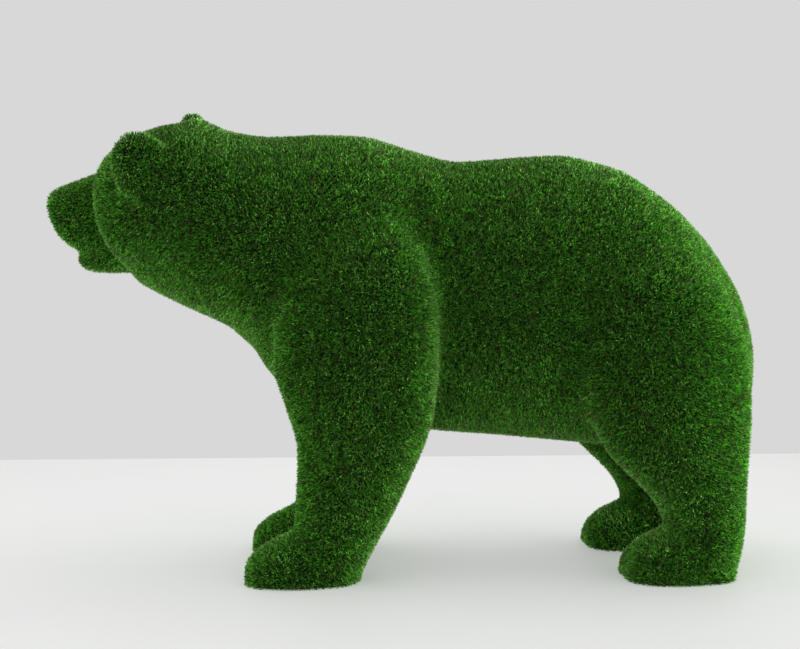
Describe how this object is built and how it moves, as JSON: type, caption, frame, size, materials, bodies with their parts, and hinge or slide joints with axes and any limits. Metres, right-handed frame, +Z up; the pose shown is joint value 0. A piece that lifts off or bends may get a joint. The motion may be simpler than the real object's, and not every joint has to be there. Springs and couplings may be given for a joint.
{
  "type": "topiary bear",
  "caption": "Life-size standing bear figure covered all over in artificial grass, its head turned aside, resting on flat-soled paws.",
  "frame": {"origin": "on the floor, under the middle of the bear's box", "axes": "+X towards the rump, so the bear faces -X; +Y to its right; +Z up"},
  "size_m": [2.2178, 0.7934, 1.4303],
  "materials": {
    "grass": "short-pile artificial grass, dense, mixed greens with brown thatch"
  },
  "bodies": {
    "root": {"bear": "grass"}
  },
  "joints": []
}
